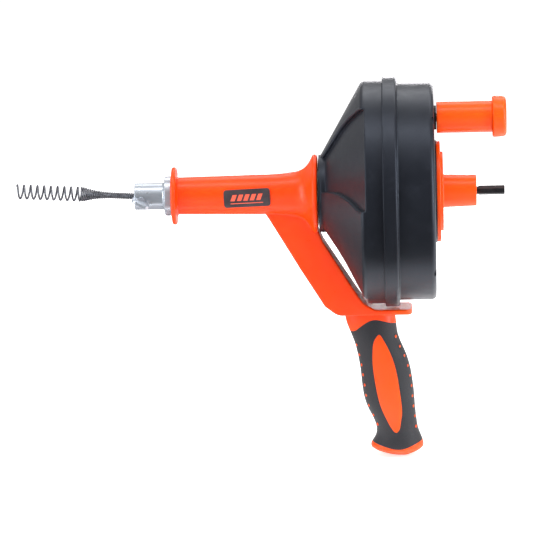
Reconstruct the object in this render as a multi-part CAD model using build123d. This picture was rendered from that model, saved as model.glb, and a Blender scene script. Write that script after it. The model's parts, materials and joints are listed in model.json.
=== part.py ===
"""Hand-held drain snake machine: orange frame with nose tube and pistol grip, a charcoal cable drum that
turns on a hollow spindle, a chuck with a thumb screw, a crank knob and a hexagonal drive shank.
Millimetres. X runs along the spin axis towards the drive shank, Z is up, the origin is the shank's end face."""
import math
import os

from build123d import *

# ---- driving dimensions ----
SHANK_AF = 8.0            # drive shank across flats
SHANK_OUT = 27.1          # shank beyond the hub boss
CABLE_R = 3.175           # close-wound cable, 1/4 in
WIRE_D = 1.8              # wire of the cable and its head
HEAD_R = 7.4              # outside radius of the open coil
HEAD_PITCH = 6.55
HEAD_LEAN = 3.4           # degrees that the free cable rises outside the chuck
CHUCK_MOUTH = -356.6
COLLAR_FRONT, COLLAR_REAR = -327.4, -321.0
CHUCK_R, COLLAR_R = 12.8, 19.0
SPINDLE_R, SPINDLE_BORE = 9.5, 5.6
NOSE_FRONT, FLANGE_R = -320.5, 27.8
TUBE_R0, TUBE_R1 = 17.7, 19.2
BELL_REAR, BELL_R = -180.0, 37.8
BUSH_R = 12.6
FIT = 0.05                # running fit, radial
PRESS = 0.02
NECK_X = -178.9
CONE_X0, CONE_R0 = -177.1, 36.0
CONE_X1, CONE_R1 = -136.0, 107.3
DRUM_R, REAR_R, RIM_R = 107.3, 104.3, 110.4
RIM_X0, RIM_X1 = -116.2, -102.4
REAR_X = -67.1
WALL = 2.5
POCKET_DEPTH = 4.0
CRANK_R = 72.0            # knob's distance from the spin axis
KNOB_R, KNOB_CAP_R = 14.9, 19.9
SHELF_TOP, SHELF_BOTTOM = -113.3, -118.4
SCREW_TILT = 6.0          # thumb screw's axis below -Y, degrees

os.makedirs("parts", exist_ok=True)


def path(pts):
    """Closed outline in the XZ plane through (x, z[, fillet]) points."""
    n, corners = len(pts), []
    for i in range(n):
        p, a, b = Vector(pts[i][0], 0, pts[i][1]), pts[i - 1], pts[(i + 1) % n]
        f = pts[i][2] if len(pts[i]) > 2 else 0
        if not f:
            corners.append((p, None, p))
            continue
        da = (Vector(a[0], 0, a[1]) - p).normalized()
        db = (Vector(b[0], 0, b[1]) - p).normalized()
        ang = math.acos(max(-1, min(1, da.dot(db))))
        t = f / math.tan(ang / 2)
        c = p + (da + db).normalized() * (f / math.sin(ang / 2))
        corners.append((p + da * t, c + (p - c).normalized() * f, p + db * t))
    edges = []
    for i in range(n):
        p1, m, p2 = corners[i]
        if m is not None:
            edges.append(ThreePointArc(p1, m, p2))
        q = corners[(i + 1) % n][0]
        if (q - p2).length > 1e-4:
            edges.append(Line(p2, q))
    return edges


def face(pts):
    return make_face(path(pts))


def turn(pts, arc=360):
    """Revolve an (x, r) outline about the spin axis."""
    return revolve(face(pts), Axis.X, arc)


def ring(x0, x1, r0, r1):
    return turn([(x0, r0), (x1, r0), (x1, r1), (x0, r1)])


def rod(x0, x1, r):
    return turn([(x0, 0), (x1, 0), (x1, r), (x0, r)])


def slab(pts, y0, y1):
    """Prism of an XZ outline between two y values."""
    return Pos(0, y0, 0) * extrude(face(pts), y1 - y0, dir=(0, 1, 0))


def at_radius(shape, r, deg):
    """Copy of a shape moved out by r along +Z, then turned about the spin axis."""
    return Rot(deg, 0, 0) * (Pos(0, 0, r) * shape)


def one(s):
    s = s.solids() if hasattr(s, "solids") else s
    return s[0] if len(s) == 1 else Compound(children=list(s))


def save(name, shape):
    export_step(shape, f"parts/{name}.step")
    print(name, len(shape.solids()), round(shape.volume))


# ================= frame =================
flange = turn([(NOSE_FRONT, 0), (NOSE_FRONT, FLANGE_R, 2.0), (-316.0, FLANGE_R, 2.0), (-316.0, 20.0, 1.0), (-312.0, 15), (-312.0, 0)])
bell_pts = [(-236.0, TUBE_R1), (-219.0, 19.5), (-207.0, 20.7), (-199.0, 21.9), (-193.0, 24.6), (-188.2, 30.0), (-185.2, 35.4)]
tube_edges = [
    Line((-318, 0, 0), (-318, 0, TUBE_R0)),
    Line((-318, 0, TUBE_R0), (-236.0, 0, TUBE_R1)),
    Spline(*[(x, 0, z) for x, z in bell_pts], tangents=[(1, 0, 0.018), (1, 0, 2.0)]),
    ThreePointArc((-185.2, 0, 35.4), (-184.3, 0, BELL_R - 0.75), (-182.4, 0, BELL_R)),
    ThreePointArc((-182.4, 0, BELL_R), (-180.6, 0, BELL_R - 0.6), (BELL_REAR, 0, BELL_R - 2.0)),
    Line((BELL_REAR, 0, BELL_R - 2.0), (BELL_REAR, 0, 0)),
    Line((BELL_REAR, 0, 0), (-318, 0, 0)),
]
tube = revolve(make_face(tube_edges), Axis.X, 360)

strut_side = [(-236.5, -8.0), (-232.8, -14.0), (-221.4, -33.0), (-198.0, -72.5, 60), (-175.2, -109.0, 10), (-163.0, SHELF_BOTTOM, 14),
              (-91.0, SHELF_BOTTOM, 1.2), (-91.0, SHELF_TOP, 1.2), (-126.5, SHELF_TOP, 9.0), (-137.6, -107.0, 9.0), (-145.8, -94.5, 20), (-175.6, -46.0, 4.0),
              (-181.0, -33.0), (-181.0, -8.0)]
side = slab(strut_side, -40, 40)
front_pts = [(-9.0, 0), (-9.6, -20), (-11.0, -40), (-13.2, -66), (-15.2, -90), (-16.8, -108), (-17.0, -125)]
front_edges = [Spline(*[(-260, y, z) for y, z in front_pts]), Line((-260, -17.0, -125), (-260, 17.0, -125)),
               Spline(*[(-260, -y, z) for y, z in reversed(front_pts)]), Line((-260, 9.0, 0), (-260, -9.0, 0))]
taper = extrude(make_face(front_edges), 200, dir=(1, 0, 0))
strut = side & taper
# plan corners of the shelf
for sy in (-1, 1):
    corner = Pos(-91.0, sy * 17.0, -116) * Box(16, 16, 14) - Pos(-99.0, sy * 9.0, -116) * Cylinder(8.0, 16)
    strut = strut - corner
strut = one(strut)
edges = [e for e in strut.edges() if e.length > 12 and abs(e.center().Y) > 6 and e.center().Z < -30]
try:
    strut = fillet(edges, 1.6)
except Exception as err:
    print("strut fillet", err)
    good = []
    for e in edges:
        try:
            fillet(good + [e], 1.2)
            good.append(e)
        except Exception:
            pass
    print("strut edges", len(good), "of", len(edges))
    if good:
        strut = fillet(good, 1.2)
body = one(tube + flange + strut)
crease = [e for e in body.edges() if e.geom_type in (GeomType.BSPLINE, GeomType.OTHER, GeomType.BEZIER) and -36 < e.center().Z < -8 and e.length > 8 and -236 < e.center().X < -182]
print("crease edges", [(round(e.length, 1), tuple(round(v, 1) for v in e.center())) for e in crease])
for r in (3.0, 2.0, 1.2):
    try:
        body = one(fillet(crease, r))
        print("crease", r)
        break
    except Exception as err:
        print("crease fillet", r, type(err).__name__)
# bore with a seat at each end for the bushings
bore = rod(NOSE_FRONT - 1, BELL_REAR + 1, 11.0) + rod(NOSE_FRONT - 1, -292.0, BUSH_R) + rod(-208.0, BELL_REAR + 1, BUSH_R)
bore = bore + rod(NOSE_FRONT - 1, -318.0, 16.2) + rod(-182.6, BELL_REAR + 1, 22.2)
frame_body = body - bore
# grip bolt's axis leans with the grip
G_TOP, G_BOT = Vector(-131.5, 0, -118.5), Vector(-107.0, 0, -251.5)
lean = math.degrees(math.atan2(G_BOT.X - G_TOP.X, -(G_BOT.Z - G_TOP.Z)))
grip_axis = Location((G_TOP.X, 0, G_TOP.Z), (0, -lean, 0))   # local -Z runs down the grip
BOLT_R = 3.0
frame_body = one(frame_body - grip_axis * (Pos(0, 0, -2) * Cylinder(BOLT_R + 0.05, 18.4, align=(Align.CENTER, Align.CENTER, Align.CENTER))))
save("frame_body", frame_body)

# badge plate that follows the tube
slope = (TUBE_R1 - TUBE_R0) / 82.0
r_at = lambda x: TUBE_R0 + slope * (x + 318.0)
badge_band = turn([(-280, r_at(-280) + 0.03), (-238, r_at(-238) + 0.03), (-216, r_at(-236) + 0.45), (-216, r_at(-236) + 1.35), (-238, r_at(-238) + 0.9), (-280, r_at(-280) + 0.9)])
plate = Pos(-247.6, -15, 0.3) * Rot(0, -2.2, 0) * Rot(90, 0, 0) * extrude(RectangleRounded(44.5, 17.2, 2.6), 15, both=True)
badge = one(badge_band & plate)
save("badge_plate", badge)

# bushings
def bushing(x_face, x_end, flange_r, x_back):
    lo, hi = min(x_face, x_end), max(x_face, x_end)
    b = ring(lo, hi, SPINDLE_R + FIT, BUSH_R - PRESS) + ring(min(x_face, x_back), max(x_face, x_back), SPINDLE_R + FIT, flange_r)
    return one(b)


save("front_bushing", bushing(-320.7, -293.0, 15.6, -318.05))
save("rear_bushing", bushing(-179.3, -207.0, 21.6, -182.55))

# ================= grip =================
# z, centre x, half length, half width
SEC = [(-118.5, -132.2, 24.6, 14.0), (-127.1, -131.0, 24.2, 14.8), (-137.1, -128.8, 22.9, 16.0), (-147.1, -125.6, 22.4, 16.9), (-157.2, -122.2, 23.2, 17.3), (-167.2, -119.6, 24.0, 17.5),
       (-177.2, -117.8, 24.5, 17.5), (-187.2, -116.7, 24.8, 17.4), (-197.2, -115.6, 24.8, 17.2), (-207.1, -114.3, 24.1, 17.0), (-217.1, -112.1, 22.5, 16.6),
       (-227.2, -109.2, 20.6, 16.2), (-237.2, -107.3, 20.5, 16.4), (-242.2, -106.9, 21.9, 17.2), (-247.1, -107.4, 24.2, 18.6), (-251.0, -107.9, 25.6, 19.6), (-254.2, -107.7, 24.8, 19.0)]


def oval(z, xc, a, b):
    return Plane((xc, 0, z), x_dir=(1, 0, 0), z_dir=(0, 0, 1)) * Ellipse(a, b)


def grip_loft(cut, secs):
    return loft([oval(z, xc, a - cut, b - cut) for z, xc, a, b in secs])


outer = grip_loft(0, SEC)
inner = grip_loft(2.2, SEC)
inner_gap = grip_loft(2.17, SEC)
rings = [(-254.2, 24.8, 19.0, -107.7), (-256.3, 22.2, 17.0, -107.2), (-258.4, 18.0, 13.8, -106.4), (-260.5, 12.6, 9.6, -105.2), (-262.0, 7.4, 5.6, -103.4)]
dome = None
for (za, aa, ba, ca), (zb, ab, bb, cb) in zip(rings, rings[1:]):
    piece = loft([oval(za, ca, aa, ba), oval(zb, cb, ab, bb)], ruled=True)
    dome = piece if dome is None else dome + piece



def above(pts):
    """Prism that holds everything above an edge line given as side-view points."""
    e = [Spline(*[(x, -30, z) for x, z in pts]), Line((pts[-1][0], -30, pts[-1][1]), (pts[-1][0], -30, -90)),
         Line((pts[-1][0], -30, -90), (pts[0][0], -30, -90)), Line((pts[0][0], -30, -90), (pts[0][0], -30, pts[0][1]))]
    return extrude(make_face(e), 60, dir=(0, 1, 0))


top_edge = [(-165, -138.0), (-150.8, -136.2), (-147.0, -134.9), (-143.0, -131.8), (-136.7, -126.9), (-131.1, -124.1), (-125.6, -123.7), (-120.0, -125.1), (-113.9, -127.2), (-107.2, -129.0), (-95, -130.5)]
low_edge = [(-165, -247.6), (-148, -247.7), (-131.6, -247.9), (-122.0, -249.9), (-113.7, -251.9), (-105.7, -252.9), (-98.0, -251.5), (-90.2, -248.9), (-84.0, -247.0), (-72, -243.8)]
band = above(low_edge) - above(top_edge)
win = [(-124.4, -138.2), (-128.7, -144.5), (-130.2, -155.0), (-130.4, -166.5), (-129.4, -178.1), (-127.2, -193.4), (-122.9, -211.2), (-117.1, -225.0), (-112.3, -233.6),
       (-108.5, -236.6), (-106.0, -234.6), (-104.2, -227.9), (-102.8, -219.6), (-102.8, -210.6), (-104.3, -195.7), (-107.2, -176.2), (-109.7, -165.8), (-112.9, -156.6), (-116.0, -149.6), (-120.0, -142.0)]
wc = (sum(p[0] for p in win) / len(win), sum(p[1] for p in win) / len(win))


def window(grow):
    pts = []
    for x, z in win:
        d = math.hypot(x - wc[0], z - wc[1])
        pts.append((x + (x - wc[0]) / d * grow, z + (z - wc[1]) / d * grow))
    e = Spline(*[(x, -30, z) for x, z in pts], periodic=True)
    return extrude(make_face([e]), 60, dir=(0, 1, 0))


hole = window(0)
rubber = (outer - inner_gap) & band
rubber = rubber - hole
DOTS = [(-145.8, -149.8), (-143.3, -159.8), (-141.3, -169.8), (-140.0, -179.8), (-138.6, -190.0), (-137.4, -200.4), (-134.9, -210.5), (-130.8, -220.3), (-127.0, -229.7),
        (-107.2, -141.8), (-103.5, -151.9), (-99.3, -161.5), (-96.2, -171.6), (-94.2, -181.6), (-92.9, -191.9), (-92.2, -202.1), (-91.4, -212.4), (-90.2, -222.6), (-89.2, -232.9)]


def section_at(z):
    for (z0, x0, a0, b0), (z1, x1, a1, b1) in zip(SEC, SEC[1:]):
        if z1 <= z <= z0:
            t = (z0 - z) / (z0 - z1)
            return x0 + t * (x1 - x0), a0 + t * (a1 - a0), b0 + t * (b1 - b0)


STUD_R, STUD_RISE = 1.5, 0.5
cap_r = (STUD_R ** 2 + STUD_RISE ** 2) / (2 * STUD_RISE)
stud = Pos(0, 0, -3.2) * Cylinder(STUD_R, 3.2, align=(Align.CENTER, Align.CENTER, Align.MIN))
stud = stud + (Pos(0, 0, STUD_RISE - cap_r) * Sphere(cap_r) & Pos(0, 0, -0.1) * Cylinder(STUD_R, 1.0, align=(Align.CENTER, Align.CENTER, Align.MIN)))
stud_hole = Pos(0, 0, -3.6) * Cylinder(STUD_R + 0.03, 6.0, align=(Align.CENTER, Align.CENTER, Align.MIN))
studs, stud_holes = [], []
for x, z in DOTS:
    xc, a, b = section_at(z)
    u = max(-0.97, min(0.97, (x - xc) / a))
    y = b * math.sqrt(1 - u * u)
    for sy in (-1, 1):
        place = Plane(origin=(xc + u * a, sy * y, z), z_dir=Vector(u / a, sy * y / b / b, 0).normalized())
        studs.append(place * stud)
        stud_holes.append(place * stud_hole)
rubber = one(rubber - stud_holes)
save("grip_rubber", rubber)

pad = (outer & window(-0.12)) - inner
collar_top = (outer - inner) & above([(x, z + 0.06) for x, z in top_edge])
flare_low = (outer - inner) - above([(x, z - 0.06) for x, z in low_edge])
core = inner + pad + collar_top + flare_low + dome
for peg in studs:
    core = core + peg
bolt_cut = grip_axis * (Pos(0, 0, -75) * Cylinder(BOLT_R + 0.25, 170)) + grip_axis * (Pos(0, 0, -133.5) * Cylinder(7.2, 30, align=(Align.CENTER, Align.CENTER, Align.MAX)))
core = one(core - bolt_cut)
save("grip_core", core)
washer = grip_axis * (Pos(0, 0, -133.55) * (Cylinder(6.6, 1.4, align=(Align.CENTER, Align.CENTER, Align.MAX)) - Cylinder(BOLT_R + 0.2, 1.5, align=(Align.CENTER, Align.CENTER, Align.MAX))))
save("grip_washer", one(washer))
gb = Pos(0, 0, 6.0) * Cylinder(BOLT_R, 141.2, align=(Align.CENTER, Align.CENTER, Align.MAX)) + Pos(0, 0, -134.98) * Cylinder(5.4, 6.0, align=(Align.CENTER, Align.CENTER, Align.MAX))
gb = gb - Pos(0, 0, -141) * extrude(RegularPolygon(2.5 / math.cos(math.pi / 6), 6), 3.2)
save("grip_bolt", one(grip_axis * gb))

# ================= drum =================
k60 = math.tan(math.radians(60))
cone_pts = [(NECK_X, 9.55), (NECK_X, 34.0, 1.0), (CONE_X0, CONE_R0), (CONE_X1, CONE_R1, 5.0), (-108.0, DRUM_R), (-108.0, 9.55)]
drum_outer = turn(cone_pts)
cone_in = [(-174.9, 9.0), (-174.9, CONE_R0 + (-174.9 - CONE_X0) * k60 - WALL / math.cos(math.radians(60))), (CONE_X1 + 1.1, DRUM_R - WALL, 5.0), (-100.0, DRUM_R - WALL), (-100.0, 9.0)]
drum_cavity = turn(cone_in)
# pockets: three swirled recesses in the cone
lower = [(36.0, 0.0), (50.0, 0.0), (61.5, -1.3), (75.5, -4.6), (86.7, -7.7), (95.0, -10.2), (104.6, -12.0)]
upper = [(36.0, 62.0), (45.0, 60.5), (56.0, 60.0), (70.0, 58.8), (86.6, 53.6), (95.0, 50.6), (104.6, 47.4)]


def pocket_area(grow, first):
    """Face-on outline of a pocket, in the plane normal to the spin axis; angles run from -Y towards +Z."""
    def pt(r, a, side):
        a = math.radians(a + 13.0)
        a += side * grow / r
        return (-200, -r * math.cos(a), r * math.sin(a))
    lo = [pt(r, a, -1) for r, a in lower]
    up = [pt(r, a, 1) for r, a in upper]
    out = 104.6 + min(grow, 0.4)
    a0, a1 = math.radians(-12.0 + 13 + 1.6), math.radians(47.4 + 13 - 1.6)
    a0 -= grow / out
    a1 += grow / out
    mid = (a0 + a1) / 2
    rim = [(-200, -out * math.cos(a), out * math.sin(a)) for a in (a0, mid, a1)]
    lo, up = lo[:-1], up[:-1]
    e = [Spline(*lo), Spline(lo[-1], rim[0], tangents=[(Vector(*lo[-1]) - Vector(*lo[-2])).normalized(), (0, math.sin(a0), math.cos(a0))]),
         ThreePointArc(*rim), Spline(rim[2], up[-1], tangents=[(0, math.sin(a1), math.cos(a1)), (Vector(*up[-2]) - Vector(*up[-1])).normalized()]),
         Spline(*reversed(up)), Line(up[0], lo[0])]
    f = make_face(e)
    return extrude(f, 100, dir=(1, 0, 0))


def cone_band(depth):
    """Skin of the cone to a depth measured normal to it."""
    d = depth / math.cos(math.radians(60))
    return turn([(-182, CONE_R0 + (-182 - CONE_X0) * k60 + 20), (-130, CONE_R0 + (-130 - CONE_X0) * k60 + 20), (-130, CONE_R0 + (-130 - CONE_X0) * k60 - d), (-171.5, CONE_R0 + (-171.5 - CONE_X0) * k60 - d), (-182, CONE_R0 + (-171.5 - CONE_X0) * k60 - d)])


cut_a, back_a = pocket_area(0.0, True) & cone_band(POCKET_DEPTH), pocket_area(WALL, True) & cone_band(POCKET_DEPTH + WALL)
cuts = [Rot(120 * k, 0, 0) * cut_a for k in range(3)]
backs = [Rot(120 * k, 0, 0) * back_a for k in range(3)]
shell = drum_outer - cuts
on_cone = lambda v: abs(math.hypot(v.Y, v.Z) - (CONE_R0 + (v.X - CONE_X0) * k60)) < 0.25
lips = [e for e in shell.edges() if e.length > 8 and all(on_cone(e @ t) for t in (0.15, 0.5, 0.85)) and e.geom_type not in (GeomType.CIRCLE, GeomType.LINE)]
print("lips", [(str(e.geom_type), round(e.length, 1)) for e in lips])
for r in (1.6, 1.0, 0.6):
    try:
        rounded = fillet(lips, r)
        if rounded.is_valid and len(rounded.solids()) == 1:
            shell = rounded
            print("lip radius", r)
            break
    except Exception as err:
        print("lip fillet", r, type(err).__name__)
cav = drum_cavity - backs
shell = shell - cav
shell = shell + ring(-178.4, -172.6, 30.0, 37.4)
neck_screws = [at_radius(Pos(NECK_X - 1, 0, 0) * Rot(0, 90, 0) * (Cylinder(2.25, 12, align=(Align.CENTER, Align.CENTER, Align.MIN)) + Pos(0, 0, 1) * Cone(4.2, 2.2, 2.2, align=(Align.CENTER, Align.CENTER, Align.MIN))), 17.5, a) for a in (45, 135, 225, 315)]
shell = one(shell - neck_screws)
save("drum_front_shell", shell)

rear_outer = turn([(RIM_X0, DRUM_R + 0.12), (RIM_X0, RIM_R, 0.6), (RIM_X1, RIM_R, 2.4), (RIM_X1, REAR_R, 1.0), (REAR_X, REAR_R, 5.0), (REAR_X, 49.5), (-65.4, 49.5, 0.4), (-65.4, 9.0),
                   (REAR_X - 2.6, 9.0), (REAR_X - 2.6, REAR_R - WALL, 3.0), (-105.8, REAR_R - WALL, 1.0), (-107.6, DRUM_R + 0.12)])
slots = [Rot(a, 0, 0) * (Pos(-67.6, 0, 103.0) * Box(3.6, 7.6, 4.6)) for a in (37.4 - 90 + 90, 127.4, 217.4, 307.4)]
hub_holes = [at_radius(Pos(-72, 0, 0) * Rot(0, 90, 0) * Cylinder(1.95, 14, align=(Align.CENTER, Align.CENTER, Align.MIN)), 43.4, a) for a in (20, 110, 200, 290)]
knob_hole = at_radius(Pos(-75, 0, 0) * Rot(0, 90, 0) * Cylinder(4.05, 14, align=(Align.CENTER, Align.CENTER, Align.MIN)), CRANK_R, 0)
CLIP_R = 98.2 - 9.6
clip_hole = at_radius(Pos(REAR_X - 3.6, 0, 0) * Rot(0, 90, 0) * Cylinder(1.52, 3.3, align=(Align.CENTER, Align.CENTER, Align.MIN)), CLIP_R, -8.5)
rear = one(rear_outer - slots - hub_holes - knob_hole - clip_hole)
save("drum_rear_shell", rear)

# hub plate, boss and drive shank
hub = turn([(-65.35, 0), (-65.35, 48.6, 0.4), (-61.7, 48.6, 0.5), (-61.7, 38.0), (-59.1, 38.0, 0.5), (-59.1, 15.9, 0.8), (-27.1, 14.9, 0.8), (-27.1, 0)])
hub = hub + rod(-69.6, -65.3, 8.9)
hexa = lambda af, x0, x1: Pos(x0, 0, 0) * Rot(0, 90, 0) * extrude(RegularPolygon(af / 2 / math.cos(math.pi / 6), 6), x1 - x0)
hub = hub - hexa(SHANK_AF + 0.04, -66.0, -20.0)
cs = [at_radius(Pos(-70, 0, 0) * Rot(0, 90, 0) * (Cylinder(2.05, 12, align=(Align.CENTER, Align.CENTER, Align.MIN)) + Pos(0, 0, 6.35) * Cone(2.0, 4.05, 2.0, align=(Align.CENTER, Align.CENTER, Align.MIN))), 43.4, a) for a in (20, 110, 200, 290)]
save("hub_plate", one(hub - cs))
shank = hexa(SHANK_AF, -65.9, 0.0) & turn([(-66.5, 0), (-66.5, 6), (-28.2, 6), (-27.1, 3.75), (-25.3, 3.75), (-24.2, 6), (-1.2, 6), (0.0, 4.1), (0.0, 0)])
save("drive_shank", one(shank))


def csk(d, head_r, length, head_h):
    """Countersunk screw along +X from its head's face at x = 0, with a cross recess."""
    s = turn([(0, 0), (0, head_r), (-head_h, d / 2), (-length + d / 3, d / 2), (-length, d / 5), (-length, 0)])
    for a in (0, 90):
        s = s - Rot(a, 0, 0) * (Pos(0, 0, 0) * Box(2.2, head_r * 1.15, 0.9))
    return s


save("hub_screws", Compound(children=[one(at_radius(Pos(-61.75, 0, 0) * csk(3.8, 3.9, 9.0, 1.9), 43.4, a)) for a in (20, 110, 200, 290)]))
save("spindle_screws", Compound(children=[one(at_radius(Pos(NECK_X + 0.05, 0, 0) * Rot(0, 0, 180) * csk(4.2, 4.0, 9.2, 2.0), 17.5, a)) for a in (45, 135, 225, 315)]))

# spindle tube with its flange inside the drum
spindle = turn([(-344.0, SPINDLE_BORE), (-344.0, SPINDLE_R, 0.8), (-174.85, SPINDLE_R), (-174.85, 24.0, 0.6), (-169.2, 24.0, 0.6), (-169.2, 12.0, 4.0), (-164.0, 9.0, 1.0), (-164.0, SPINDLE_BORE + 1.6), (-167.0, SPINDLE_BORE)])
spindle = spindle - [at_radius(Pos(-176, 0, 0) * Rot(0, 90, 0) * Cylinder(2.12, 8.6, align=(Align.CENTER, Align.CENTER, Align.MIN)), 17.5, a) for a in (45, 135, 225, 315)]
set_hole = Rot(155, 0, 0) * (Pos(-324.2, 0, 9.0) * Cylinder(2.02, 14, align=(Align.CENTER, Align.CENTER, Align.MIN)))
save("spindle_tube", one(spindle))

# chuck
chuck = turn([(CHUCK_MOUTH, 4.9), (CHUCK_MOUTH, CHUCK_R, 0.7), (COLLAR_FRONT, CHUCK_R, 2.6), (COLLAR_FRONT, COLLAR_R, 0.7), (COLLAR_REAR, COLLAR_R, 0.7), (COLLAR_REAR, SPINDLE_R + PRESS),
              (-344.1, SPINDLE_R + PRESS), (-344.1, 4.6), (-352.0, 4.6)])
screw_axis = Rot(SCREW_TILT, 0, 0)
chuck = chuck - screw_axis * (Pos(-350.2, 0, 0) * Rot(90, 0, 0) * Cylinder(3.05, 16, align=(Align.CENTER, Align.CENTER, Align.MIN)))
chuck = one(chuck - set_hole)
save("chuck", chuck)
setscrew = Rot(155, 0, 0) * (Pos(-324.2, 0, SPINDLE_R + 0.05) * (Cylinder(2.0, 8.6, align=(Align.CENTER, Align.CENTER, Align.MIN)) - Pos(0, 0, 6.2) * extrude(RegularPolygon(1.0 / math.cos(math.pi / 6), 6), 3)))
save("chuck_set_screw", one(setscrew))

# thumb screw: round neck, flat spade head
ts = Cylinder(3.0, 10.2, align=(Align.CENTER, Align.CENTER, Align.MIN))             # threaded shank, local Z outwards
ts = Pos(0, 0, 3.6) * ts + Pos(0, 0, 13.2) * Cylinder(3.9, 2.6, align=(Align.CENTER, Align.CENTER, Align.MIN))
spade = Pos(0, 0, 14.0) * extrude(Plane.XZ * (Pos(0, 6.6) * RectangleRounded(17.2, 13.2, 4.6)), 1.25, both=True)
ts = ts + spade
thumb = Pos(-350.2, 0, 0) * screw_axis * Rot(90, 0, 0) * Rot(0, 0, -27) * ts
save("thumb_screw", one(thumb))

# ---- crank knob ----
collar = Pos(0, 0, CRANK_R) * ring(-67.05, -64.75, 4.3, 11.6)
save("knob_collar", one(collar))
sleeve = Pos(0, 0, CRANK_R) * turn([(-64.4, 4.1), (-64.4, KNOB_R, 0.8), (-11.1, KNOB_R, 0.5), (-11.1, 10.5), (-17.3, 10.5), (-17.3, 4.1)])
save("knob_sleeve", one(sleeve))
cap = Pos(0, 0, CRANK_R) * turn([(-11.05, 8.4), (-11.05, KNOB_CAP_R, 1.6), (2.3, KNOB_CAP_R - 0.9, 3.6), (2.3, 5.0, 1.5), (1.4, 3.0, 1.0), (1.4, 0), (-2.0, 0), (-2.0, 8.4)])
cap = cap + Pos(0, 0, CRANK_R) * ring(-16.0, -11.0, 8.4, 10.46)
save("knob_cap", one(cap))
bolt = Pos(0, 0, CRANK_R) * (turn([(-80.5, 0), (-80.5, 3.4, 0.5), (-79.5, 4.0), (-16.95, 4.0), (-16.95, 7.4, 0.5), (-12.0, 7.4, 1.2), (-12.0, 0)]) - hexa(5.0, -15.0, -11.0))
save("knob_bolt", one(bolt))
nut = Pos(0, 0, CRANK_R) * (hexa(13.0, -76.3, -69.75) - rod(-77, -69, 4.03))
save("knob_nut", one(nut))

# ---- cable in the drum ----
R1, R2, LAY = 98.2, 91.6, 6.62
pts = []
N = 12
turns1, turns2 = 8.2, 3.0
x_start = -73.4
for i in range(int(turns1 * N) + 1):
    a = 2 * math.pi * i / N
    pts.append((x_start - LAY * i / N, R1, a))
xe, ae = pts[-1][0], pts[-1][2]
M = int(turns2 * N)
for i in range(1, M + 1):
    a = ae + 2 * math.pi * i / N
    t = min(1.0, i / 4.5)
    pts.append((xe + 3.4 * t + LAY * i / N, R1 + (R2 - R1) * (3 * t * t - 2 * t ** 3), a))
xe, ae = pts[-1][0], pts[-1][2]
line = [(x, r * math.sin(a), r * math.cos(a)) for x, r, a in pts]
# the run from the coil to the spindle
lead = [(20, 88.0, -3), (45, 77.0, -9), (72, 62.0, -17), (102, 45.0, -26), (135, 27.0, -34), (165, 11.0, -42)]
for d, r, dx in lead:
    a = ae + math.radians(d)
    line.append((xe + dx, r * math.sin(a), r * math.cos(a)))
end_x = line[-1][0]
line += [(end_x - 12, line[-1][1] * 0.35, line[-1][2] * 0.35), (-158.0, 0.0, 0.0), (-164.0, 0.0, 0.0)]
spine = Spline(*[Vector(*p) for p in line])
coil = sweep(Plane(origin=spine @ 0, z_dir=spine % 0) * Circle(CABLE_R), path=spine, is_frenet=True)
print("cable in the drum", round(spine.length), "mm")
save("cable_coil", one(coil))
cx, cr = x_start, R1
clip = turn([(REAR_X - 2.65, CLIP_R - 4.4), (REAR_X - 2.65, cr - 3.6), (cx - 2.95, cr - 3.6), (cx - 2.95, cr - 2.4), (cx - 4.1, cr - 2.4), (cx - 4.1, cr - 4.9), (REAR_X - 4.1, cr - 4.9), (REAR_X - 4.1, CLIP_R - 4.4)], 7)
clip = Rot(-12, 0, 0) * clip
clip_screw_at = lambda s: Rot(-8.5, 0, 0) * (Pos(0, 0, CLIP_R) * s)
clip = clip - clip_screw_at(rod(-80, -60, 1.7))
save("cable_clip", one(clip))
cscr = turn([(REAR_X - 6.0, 0), (REAR_X - 6.0, 2.9, 0.7), (REAR_X - 4.15, 2.9), (REAR_X - 4.15, 1.5), (REAR_X - 0.9, 1.5), (REAR_X - 0.5, 0.0)])
save("clip_screw", one(clip_screw_at(cscr)))

# ---- free cable: a straight run through the spindle and the leaning run outside with its head ----
PIVOT = (-350.0, 0, 0)
L = math.radians(HEAD_LEAN)


def out(d):
    """Point on the free cable's line at distance d beyond the pivot."""
    return (-350.0 - d * math.cos(L), 0, d * math.sin(L))


run = FilletPolyline((-205.0, 0, 0), (-350.0, 0, 0), out(39.8), radius=180)
wound = sweep(Plane(origin=run @ 0, z_dir=run % 0) * Circle(CABLE_R), path=run)
save("cable_run", one(wound))
lean_loc = Pos(-350, 0, 0) * Rot(0, HEAD_LEAN, 0)
flare = revolve(make_face([Spline((-36.0, 0, 3.42), (-44.0, 0, 3.95), (-50.5, 0, 4.9), (-56.5, 0, 6.3), (-61.5, 0, 7.35), tangents=[(-1, 0, 0.02), (-1, 0, 0.1)]),
                           Line((-61.5, 0, 7.35), (-63.6, 0, 7.4)), Line((-63.6, 0, 7.4), (-63.6, 0, 5.6)),
                           Spline((-63.6, 0, 5.6), (-56.5, 0, 4.4), (-50.5, 0, 3.2), (-44.0, 0, 1.6), (-41.0, 0, 0.0)), Line((-41.0, 0, 0), (-39.9, 0, 0)),
                           Line((-39.9, 0, 0), (-39.9, 0, CABLE_R + 0.04)), Line((-39.9, 0, CABLE_R + 0.04), (-36.0, 0, CABLE_R + 0.04)), Line((-36.0, 0, CABLE_R + 0.04), (-36.0, 0, 3.42))]), Axis.X, 360)
hr = HEAD_R - WIRE_D / 2
helix = Helix(pitch=HEAD_PITCH, height=HEAD_PITCH * 8.85, radius=hr, lefthand=False)
wire = sweep(Plane(origin=helix @ 0, z_dir=helix % 0) * Circle(WIRE_D / 2), path=helix)
save("cable_head", one(lean_loc * (Pos(-64.6, 0, 0) * Rot(0, -90, 0) * wire)))
save("cable_flare", one(lean_loc * flare))
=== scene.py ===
import json
import math
import random
import bpy
import bmesh
from mathutils import Vector, Matrix


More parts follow.
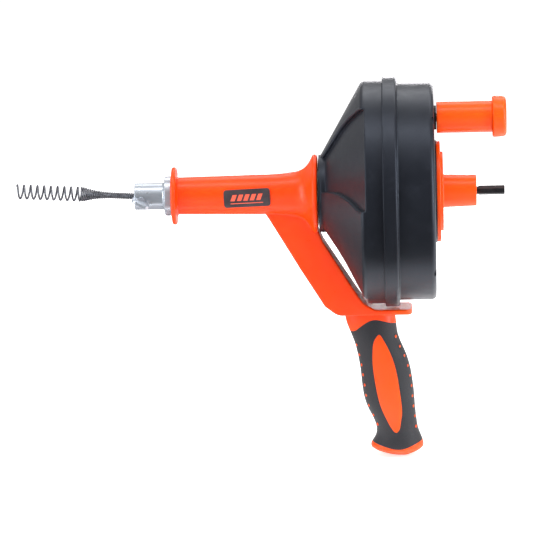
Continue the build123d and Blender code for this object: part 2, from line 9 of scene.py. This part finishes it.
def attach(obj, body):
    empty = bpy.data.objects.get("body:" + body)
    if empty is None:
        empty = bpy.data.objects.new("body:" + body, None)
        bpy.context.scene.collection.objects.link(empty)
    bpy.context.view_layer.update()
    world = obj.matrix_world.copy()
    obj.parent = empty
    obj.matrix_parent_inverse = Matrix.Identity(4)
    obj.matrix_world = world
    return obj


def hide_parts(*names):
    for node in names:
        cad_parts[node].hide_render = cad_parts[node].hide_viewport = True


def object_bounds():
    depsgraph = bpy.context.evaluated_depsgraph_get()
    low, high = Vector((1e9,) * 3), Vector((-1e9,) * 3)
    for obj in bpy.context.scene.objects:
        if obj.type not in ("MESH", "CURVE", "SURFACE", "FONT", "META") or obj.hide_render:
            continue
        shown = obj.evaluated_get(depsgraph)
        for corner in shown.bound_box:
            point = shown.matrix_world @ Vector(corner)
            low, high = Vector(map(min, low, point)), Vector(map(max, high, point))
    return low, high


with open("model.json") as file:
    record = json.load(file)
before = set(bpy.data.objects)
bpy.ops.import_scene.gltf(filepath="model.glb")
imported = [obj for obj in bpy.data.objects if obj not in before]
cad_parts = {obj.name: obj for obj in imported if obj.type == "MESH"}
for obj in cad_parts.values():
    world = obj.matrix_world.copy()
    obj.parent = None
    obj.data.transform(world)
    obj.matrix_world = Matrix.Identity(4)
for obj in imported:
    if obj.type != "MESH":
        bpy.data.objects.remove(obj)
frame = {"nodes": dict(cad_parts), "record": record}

CAD_BOX = [[float(v) for v in c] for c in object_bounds()]
N = frame["nodes"]
scene = bpy.context.scene

# ---------------- camera: the wanted viewing angle ----------------
AZ, EL, ROLL, DIST = 2.5, 13.0, 1.6, 3.4
TARGET = Vector((-0.2314, 0.0, -0.0716))
az, el = math.radians(AZ), math.radians(EL)
away = Vector((math.sin(az) * math.cos(el), -math.cos(az) * math.cos(el), math.sin(el)))
cd = bpy.data.cameras.new("camera")
cd.lens, cd.sensor_width, cd.clip_end = 236.8, 36.0, 60.0
cam = bpy.data.objects.new("camera", cd)
scene.collection.objects.link(cam)
cam.matrix_world = Matrix.Translation(TARGET + away * DIST) @ (away.to_track_quat("Z", "Y").to_matrix() @ Matrix.Rotation(math.radians(-ROLL), 3, "Z")).to_4x4()
scene.camera = cam


# ---------------- node helpers ----------------
class Mat:
    """A small builder for procedural materials."""

    def __init__(self, name):
        self.m = bpy.data.materials.new(name)
        self.m.use_nodes = True
        self.t = self.m.node_tree
        self.t.nodes.clear()
        self.out = self.t.nodes.new("ShaderNodeOutputMaterial")
        self.b = self.t.nodes.new("ShaderNodeBsdfPrincipled")
        self.link(self.b.outputs[0], self.out.inputs[0])
        self.co = self.t.nodes.new("ShaderNodeTexCoord").outputs["Object"]

    def link(self, a, b):
        self.t.links.new(a, b)

    def set(self, **kw):
        for k, v in kw.items():
            self.b.inputs[k.replace("_", " ")].default_value = v

    def mapped(self, scale=(1, 1, 1), rot=(0, 0, 0), loc=(0, 0, 0)):
        n = self.t.nodes.new("ShaderNodeMapping")
        n.inputs["Scale"].default_value = scale
        n.inputs["Rotation"].default_value = rot
        n.inputs["Location"].default_value = loc
        self.link(self.co, n.inputs["Vector"])
        return n.outputs[0]

    def noise(self, scale, detail=4.0, rough=0.5, vec=None, distort=0.0):
        n = self.t.nodes.new("ShaderNodeTexNoise")
        n.inputs["Scale"].default_value = scale
        n.inputs["Detail"].default_value = detail
        n.inputs["Roughness"].default_value = rough
        n.inputs["Distortion"].default_value = distort
        self.link(vec if vec is not None else self.co, n.inputs["Vector"])
        return n.outputs["Fac"]

    def voronoi(self, scale, vec=None, feature="F1"):
        n = self.t.nodes.new("ShaderNodeTexVoronoi")
        n.feature = feature
        n.inputs["Scale"].default_value = scale
        self.link(vec if vec is not None else self.co, n.inputs["Vector"])
        return n.outputs["Distance"]

    def ramp(self, fac, stops):
        n = self.t.nodes.new("ShaderNodeValToRGB")
        while len(n.color_ramp.elements) < len(stops):
            n.color_ramp.elements.new(0.5)
        for e, (p, c) in zip(n.color_ramp.elements, stops):
            e.position = p
            e.color = (*c, 1.0) if len(c) == 3 else c
        self.link(fac, n.inputs[0])
        return n.outputs[0]

    def range(self, fac, lo, hi, a=0.3, b=0.7):
        n = self.t.nodes.new("ShaderNodeMapRange")
        n.inputs["From Min"].default_value, n.inputs["From Max"].default_value = a, b
        n.inputs["To Min"].default_value, n.inputs["To Max"].default_value = lo, hi
        self.link(fac, n.inputs[0])
        return n.outputs[0]

    def math(self, op, a, b=None, c=None):
        n = self.t.nodes.new("ShaderNodeMath")
        n.operation = op
        for i, v in enumerate((a, b, c)):
            if v is None:
                continue
            if isinstance(v, (int, float)):
                n.inputs[i].default_value = v
            else:
                self.link(v, n.inputs[i])
        return n.outputs[0]

    def mix(self, fac, a, b):
        n = self.t.nodes.new("ShaderNodeMix")
        n.data_type = "RGBA"
        self.link(fac, n.inputs[0])
        for s, v in ((n.inputs[6], a), (n.inputs[7], b)):
            if isinstance(v, tuple):
                s.default_value = (*v, 1.0)
            else:
                self.link(v, s)
        return n.outputs[2]

    def bevel(self, radius, samples=4):
        n = self.t.nodes.new("ShaderNodeBevel")
        n.samples = samples
        n.inputs["Radius"].default_value = radius
        return n.outputs[0]

    def bump(self, height, strength, distance, normal=None):
        n = self.t.nodes.new("ShaderNodeBump")
        n.inputs["Strength"].default_value = strength
        n.inputs["Distance"].default_value = distance
        self.link(height, n.inputs["Height"])
        if normal is not None:
            self.link(normal, n.inputs["Normal"])
        return n.outputs[0]

    def colour(self, s):
        self.link(s, self.b.inputs["Base Color"])

    def rough(self, s):
        self.link(s, self.b.inputs["Roughness"])

    def normal(self, s):
        self.link(s, self.b.inputs["Normal"])


def orange_plastic():
    m = Mat("orange_plastic")
    cloud = m.noise(9.0, 3.0)
    fine = m.noise(1400.0, 2.0, 0.6)
    rub = m.noise(120.0, 5.0, 0.65)
    sep = m.t.nodes.new("ShaderNodeSeparateXYZ")
    m.link(m.co, sep.inputs[0])
    skin = m.mix(m.range(cloud, 0.0, 1.0), (0.85, 0.046, 0.0022), (0.92, 0.062, 0.0026))
    hub = m.range(sep.outputs[0], 0.0, 0.75, -0.115, -0.105)
    grip = m.range(sep.outputs[2], 0.55, 0.0, -0.150, -0.120)
    m.colour(m.mix(m.math("MAXIMUM", hub, grip), skin, (0.93, 0.092, 0.003)))
    m.rough(m.range(rub, 0.27, 0.40))
    m.normal(m.bump(fine, 0.12, 0.00012, m.bump(rub, 0.05, 0.0003, m.bevel(0.0006))))
    m.set(Coat_Weight=0.0, Subsurface_Weight=0.40, Subsurface_Scale=0.008)
    lw = m.t.nodes.new("ShaderNodeLayerWeight")
    lw.inputs["Blend"].default_value = 0.5
    m.link(m.range(lw.outputs["Facing"], 0.34, 0.03, 0.50, 0.78), m.b.inputs["Specular IOR Level"])
    m.b.inputs["Subsurface Radius"].default_value = (1.0, 0.25, 0.08)
    return m.m


def drum_plastic():
    m = Mat("drum_plastic")
    grain = m.noise(1700.0, 2.0, 0.6)
    cloud = m.noise(14.0, 4.0, 0.6)
    scuff = m.noise(55.0, 6.0, 0.7, m.mapped((1.0, 1.0, 1.0)), 0.4)
    base = m.mix(m.range(cloud, 0.0, 1.0), (0.0065, 0.0073, 0.0100), (0.0100, 0.0110, 0.0150))
    m.colour(m.mix(m.range(scuff, 0.0, 0.35, 0.56, 0.8), base, (0.024, 0.026, 0.036)))
    m.rough(m.range(scuff, 0.34, 0.46))
    m.normal(m.bump(grain, 0.22, 0.00016, m.bevel(0.0014)))
    m.set(Specular_IOR_Level=0.46, Specular_Tint=(0.74, 0.82, 1.0, 1.0))
    return m.m


def black_plastic():
    m = Mat("black_plastic")
    grain = m.noise(1500.0, 2.0, 0.6)
    cloud = m.noise(60.0, 4.0)
    m.colour(m.mix(m.range(cloud, 0.0, 1.0), (0.012, 0.012, 0.013), (0.024, 0.024, 0.026)))
    m.rough(m.range(cloud, 0.42, 0.55))
    m.normal(m.bump(grain, 0.25, 0.00015, m.bevel(0.0004)))
    return m.m


def grip_rubber():
    m = Mat("grip_rubber")
    stipple = m.voronoi(1150.0)
    grain = m.noise(2600.0, 2.0)
    cloud = m.noise(40.0, 5.0, 0.6)
    base = m.mix(m.range(cloud, 0.0, 1.0), (0.011, 0.0105, 0.0135), (0.017, 0.0165, 0.0205))
    m.colour(m.mix(m.range(stipple, 0.0, 0.45, 0.1, 0.7), base, (0.024, 0.023, 0.028)))
    m.rough(m.range(cloud, 0.56, 0.70))
    h = m.math("ADD", stipple, m.math("MULTIPLY", grain, 0.5))
    m.normal(m.bump(h, 0.32, 0.00028, m.bevel(0.0006)))
    m.set(Specular_IOR_Level=0.42, Sheen_Weight=0.12, Sheen_Roughness=0.5)
    return m.m


def zinc(name="zinc_steel", rough=(0.24, 0.36), tone=(0.54, 0.58, 0.64)):
    m = Mat(name)
    turn_marks = m.noise(420.0, 2.0, 0.5, m.mapped((1.0, 0.05, 0.05)))
    bloom = m.noise(70.0, 3.0, 0.5)
    dark = tuple(v * 0.94 for v in tone)
    m.colour(m.mix(m.range(bloom, 0.0, 1.0), dark, tone))
    m.rough(m.range(bloom, *rough))
    m.normal(m.bump(turn_marks, 0.04, 0.00010, m.bevel(0.0004)))
    m.set(Metallic=0.68, Anisotropic=0.2, Specular_IOR_Level=0.6)
    return m.m


def cable_steel():
    m = Mat("cable_steel")
    bloom = m.noise(420.0, 5.0, 0.7)
    draw = m.noise(2200.0, 2.0, 0.5)
    m.colour(m.ramp(bloom, [(0.30, (0.11, 0.11, 0.125)), (0.55, (0.22, 0.22, 0.24)), (0.8, (0.36, 0.36, 0.39))]))
    m.rough(m.range(bloom, 0.24, 0.42))
    m.normal(m.bump(draw, 0.12, 0.0001))
    m.set(Metallic=1.0, Specular_Tint=(0.30, 0.30, 0.34, 1.0))
    return m.m


def black_steel():
    m = Mat("black_steel")
    bloom = m.noise(300.0, 5.0, 0.65)
    line = m.noise(80.0, 3.0, 0.5, m.mapped((1.0, 30.0, 30.0)))
    m.colour(m.mix(m.range(bloom, 0.0, 1.0), (0.016, 0.016, 0.018), (0.042, 0.042, 0.046)))
    m.rough(m.range(bloom, 0.32, 0.46))
    m.normal(m.bump(line, 0.14, 0.00018, m.bevel(0.0004)))
    m.set(Metallic=0.6)
    return m.m


def badge_face():
    m = Mat("badge")
    grain = m.noise(1900.0, 2.0)
    cloud = m.noise(70.0, 4.0)
    m.colour(m.mix(m.range(cloud, 0.0, 1.0), (0.040, 0.030, 0.034), (0.058, 0.046, 0.051)))
    m.rough(m.range(cloud, 0.34, 0.46))
    m.normal(m.bump(grain, 0.15, 0.0001, m.bevel(0.0003)))
    return m.m


def badge_ink():
    m = Mat("badge_ink")
    grain = m.noise(1500.0, 3.0)
    m.colour(m.mix(m.range(grain, 0.0, 1.0), (0.80, 0.085, 0.045), (0.90, 0.115, 0.060)))
    m.rough(m.range(grain, 0.35, 0.48))
    m.normal(m.bump(grain, 0.1, 0.0001))
    return m.m


def nylon():
    m = Mat("bushing_nylon")
    grain = m.noise(700.0, 3.0)
    m.colour(m.mix(m.range(grain, 0.0, 1.0), (0.55, 0.52, 0.44), (0.66, 0.63, 0.55)))
    m.rough(m.range(grain, 0.35, 0.5))
    m.normal(m.bump(grain, 0.12, 0.0001, m.bevel(0.0003)))
    m.set(Subsurface_Weight=0.1, Subsurface_Scale=0.003)
    return m.m


MATS = {"orange_plastic": orange_plastic(), "drum_plastic": drum_plastic(), "black_plastic": black_plastic(), "grip_rubber": grip_rubber(),
        "zinc_steel": zinc(), "cable_steel": cable_steel(), "black_steel": black_steel(), "badge": badge_face(), "bushing_nylon": nylon()}
INK = badge_ink()
slot_of = {s["node"]: s["material_slot"] for s in frame["record"]["subparts"]}
for name, o in N.items():
    mat = MATS[slot_of[name]]
    if not o.data.materials:
        o.data.materials.append(mat)
    for i in range(len(o.data.materials)):
        o.data.materials[i] = mat


def new_mesh(name, verts, faces, mat, body, smooth=True):
    me = bpy.data.meshes.new(name)
    me.from_pydata([tuple(v) for v in verts], [], faces)
    me.update()
    if smooth:
        me.polygons.foreach_set("use_smooth", [True] * len(me.polygons))
    me.materials.append(mat)
    o = bpy.data.objects.new(name, me)
    scene.collection.objects.link(o)
    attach(o, body)
    return o


# ---------------- the wound cable and its head ----------------
MM = 0.001
LEAN = math.radians(3.4)
PIVOT_X, BEND_R = -350.0, 180.0
WIRE = 0.98                      # wire radius
HALF = BEND_R * math.tan(LEAN / 2)


def centre_line(s):
    """Point and tilt of the cable's axis at a distance s beyond x = -205, in mm."""
    straight = 145.0 - HALF
    arc = BEND_R * LEAN
    if s <= straight:
        return Vector((-205.0 - s, 0, 0)), 0.0
    if s <= straight + arc:
        a = (s - straight) / BEND_R
        return Vector((-205.0 - straight - BEND_R * math.sin(a), 0, BEND_R * (1 - math.cos(a)))), a
    d = s - straight - arc + HALF
    return Vector((PIVOT_X - d * math.cos(LEAN), 0, d * math.sin(LEAN))), LEAN


def wound_radius(d):
    """Outside radius of the winding at a distance d beyond the pivot."""
    pts = [(-200, 3.17), (28, 3.2), (34, 3.36), (40, 3.80), (46.3, 4.65), (51.6, 5.85), (56.0, 6.9), (60.0, 7.38), (140, 7.38)]
    for (a, ra), (b, rb) in zip(pts, pts[1:]):
        if d <= b:
            t = max(0.0, (d - a) / (b - a))
            return ra + (rb - ra) * t
    return pts[-1][1]


def pitch_at(d):
    if d < 58.5:
        return 2.12
    if d < 62.5:
        return 2.12 + (6.52 - 2.12) * (d - 58.5) / 4.0
    return 6.52


def wire_mesh():
    """One continuous right-hand winding of round wire, close in the cable and open in the head."""
    steps, ring = 20, 8
    s, a = 0.9, math.radians(200.0)
    end = 145.0 + 122.0
    line = []
    extra = HALF * 2 - BEND_R * LEAN
    while s < end - extra:
        d = s - 145.0 + extra / 2
        p, tilt = centre_line(s)
        r = wound_radius(d) - WIRE
        up = Vector((math.sin(tilt), 0, math.cos(tilt)))
        side = Vector((0, -1, 0))
        line.append(p + up * (r * math.cos(a)) + side * (r * math.sin(a)))
        a -= 2 * math.pi / steps
        s += pitch_at(d) / steps
    verts, faces = [], []
    n = len(line)
    for i, p in enumerate(line):
        t = (line[min(i + 1, n - 1)] - line[max(i - 1, 0)]).normalized()
        c, _ = centre_line(0.0)
        ref = Vector((p.x, 0, p.z)) - p if abs(p.y) > 1e-6 else Vector((0, 1, 0))
        u = t.cross(Vector((1, 0, 0)))
        u = u.normalized()
        v = t.cross(u).normalized()
        k = 1.0
        if i == 0 or i == n - 1:
            k = 0.72
        for j in range(ring):
            b = 2 * math.pi * j / ring
            verts.append((p + (u * math.cos(b) + v * math.sin(b)) * (WIRE * k)) * MM)
    for i in range(n - 1):
        for j in range(ring):
            q = (j + 1) % ring
            faces.append((i * ring + j, i * ring + q, (i + 1) * ring + q, (i + 1) * ring + j))
    faces.append(tuple(reversed(range(ring))))
    faces.append(tuple((n - 1) * ring + j for j in range(ring)))
    return verts, faces


v, f = wire_mesh()
wire = new_mesh("wound_wire", v, f, MATS["cable_steel"], "cable")
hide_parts("cable_run", "cable_flare", "cable_head")

# ---------------- the badge's print: a row of slanted bars over a thin rule ----------------
TUBE_R0, TUBE_R1 = 17.7, 19.2


def badge_skin(u, w):
    """Point on the badge's outside for a place (u along, w up) on its face, in mm from its middle."""
    a = math.radians(2.2)
    x = -247.6 + u * math.cos(a) - w * math.sin(a)
    z = 0.3 + u * math.sin(a) + w * math.cos(a)
    r = TUBE_R0 + (TUBE_R1 - TUBE_R0) / 82.0 * (x + 318.0) + 0.9
    if x > -238:
        ra = TUBE_R0 + (TUBE_R1 - TUBE_R0) / 82.0 * 80.0 + 0.9
        rb = TUBE_R0 + (TUBE_R1 - TUBE_R0) / 82.0 * 82.0 + 1.35
        r = ra + (rb - ra) * (x + 238.0) / 22.0
    r += 0.05
    return Vector((x, -math.sqrt(max(r * r - z * z, 0.0)), z)) * MM


def printed(shapes):
    bm = bmesh.new()
    for quad in shapes:
        (x0, y0), (x1, y1), (x2, y2), (x3, y3) = quad
        nu, nv = 10, 6
        grid = []
        for j in range(nv + 1):
            row = []
            for i in range(nu + 1):
                s, t = i / nu, j / nv
                x = (x0 * (1 - s) + x1 * s) * (1 - t) + (x3 * (1 - s) + x2 * s) * t
                y = (y0 * (1 - s) + y1 * s) * (1 - t) + (y3 * (1 - s) + y2 * s) * t
                row.append(bm.verts.new(badge_skin(x, y)))
            grid.append(row)
        for j in range(nv):
            for i in range(nu):
                bm.faces.new((grid[j][i], grid[j][i + 1], grid[j + 1][i + 1], grid[j + 1][i]))
    me = bpy.data.meshes.new("badge_print")
    bmesh.ops.recalc_face_normals(bm, faces=bm.faces[:])
    bm.to_mesh(me)
    bm.free()
    me.materials.append(INK)
    o = bpy.data.objects.new("badge_print", me)
    scene.collection.objects.link(o)
    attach(o, "frame")
    return o


bars = []
for k in range(5):
    x = -16.0 + k * 6.2
    bars.append([(x, -2.0), (x + 4.1, -2.0), (x + 6.6, 4.0), (x + 2.5, 4.0)])
bars.append([(-16.0, -5.0), (15.4, -5.0), (15.4, -4.2), (-16.0, -4.2)])
print_o = printed(bars)

# ---------------- stage and light ----------------
low = min(c[2] for c in CAD_BOX)
fm = Mat("floor")
grain = fm.noise(3.0, 3.0)
fm.colour(fm.mix(fm.range(grain, 0.0, 1.0), (0.88, 0.88, 0.88), (0.92, 0.92, 0.92)))
fm.set(Roughness=0.9, Specular_IOR_Level=0.1, Emission_Color=(1.0, 1.0, 1.0, 1.0), Emission_Strength=0.60)


def stage_mesh(name, verts, faces, mat):
    me = bpy.data.meshes.new(name)
    me.from_pydata(verts, [], faces)
    me.update()
    me.materials.append(mat)
    o = bpy.data.objects.new(name, me)
    scene.collection.objects.link(o)
    return o


R = 9.0
stage_mesh("floor", [(-R, -R, low - 0.0004), (R, -R, low - 0.0004), (R, R, low - 0.0004), (-R, R, low - 0.0004)], [(0, 1, 2, 3)], fm.m)

# dark flags that only mirror-like reflections see, so the dark plastic and the zinc get their contrast
flag = Mat("flag")
cloth = flag.noise(20.0, 2.0)
flag.colour(flag.mix(cloth, (0.010, 0.010, 0.011), (0.016, 0.016, 0.017)))
flag.set(Roughness=0.95, Specular_IOR_Level=0.0)


grey = Mat("flag_grey")
weave = grey.noise(20.0, 2.0)
grey.colour(grey.mix(weave, (0.20, 0.19, 0.20), (0.26, 0.25, 0.26)))
grey.set(Roughness=0.95, Specular_IOR_Level=0.0)


def flag_card(name, corners, mat=None):
    o = stage_mesh(name, corners, [(0, 1, 2, 3)], mat or flag.m)
    o.visible_camera = o.visible_diffuse = o.visible_shadow = o.visible_transmission = o.visible_volume_scatter = False
    return o


flag_card("flag_front", [(-0.95, -1.0, low + 0.02), (0.75, -1.0, low + 0.02), (0.75, -1.0, 0.95), (-0.95, -1.0, 0.95)])


flag_card("flag_low", [(-0.75, -1.05, low + 0.004), (0.45, -1.05, low + 0.004), (0.45, -0.16, low + 0.004), (-0.75, -0.16, low + 0.004)])

flag_card("flag_left", [(-1.00, -0.10, low + 0.004), (-0.24, -0.10, low + 0.004), (-0.24, 0.95, low + 0.004), (-1.00, 0.95, low + 0.004)], grey.m)


def area(name, loc, target, size, power, size_y=None, colour=(1, 1, 1)):
    d = bpy.data.lights.new(name, "AREA")
    d.energy, d.color = power, colour
    d.shape, d.size, d.size_y = "RECTANGLE", size, size_y or size
    o = bpy.data.objects.new(name, d)
    scene.collection.objects.link(o)
    o.matrix_world = Matrix.Translation(loc) @ (Vector(loc) - Vector(target)).to_track_quat("Z", "Y").to_matrix().to_4x4()
    return o


mid = (-0.2, 0, -0.05)
key = area("key_top", (-0.35, -0.75, 1.5), mid, 1.3, 20.0, 0.7)
key.visible_glossy = False
area("strip_top", (-0.30, -0.28, 1.30), mid, 1.6, 7.0, 0.20)
area("left_box", (-1.45, -0.75, 0.30), mid, 0.45, 12.0, 1.2, (0.90, 0.95, 1.0))
area("right_box", (1.15, -0.60, 0.30), mid, 0.30, 16.0, 1.2, (0.90, 0.95, 1.0))
area("back_top", (0.1, 1.1, 1.3), mid, 1.4, 9.0, 0.8)
low_back = area("back_low", (-0.02, 1.3, low + 0.36), (-0.11, 0.0, low + 0.15), 0.7, 5.0, 0.30, (1.0, 0.97, 1.0))
low_back.visible_camera = False
w = bpy.data.worlds.new("studio")
w.use_nodes = True
bg = w.node_tree.nodes["Background"]
bg.inputs[0].default_value = (1.0, 1.0, 1.0, 1.0)
bg.inputs[1].default_value = 0.42
scene.world = w
scene.view_settings.view_transform = "Standard"
scene.view_settings.look = "None"
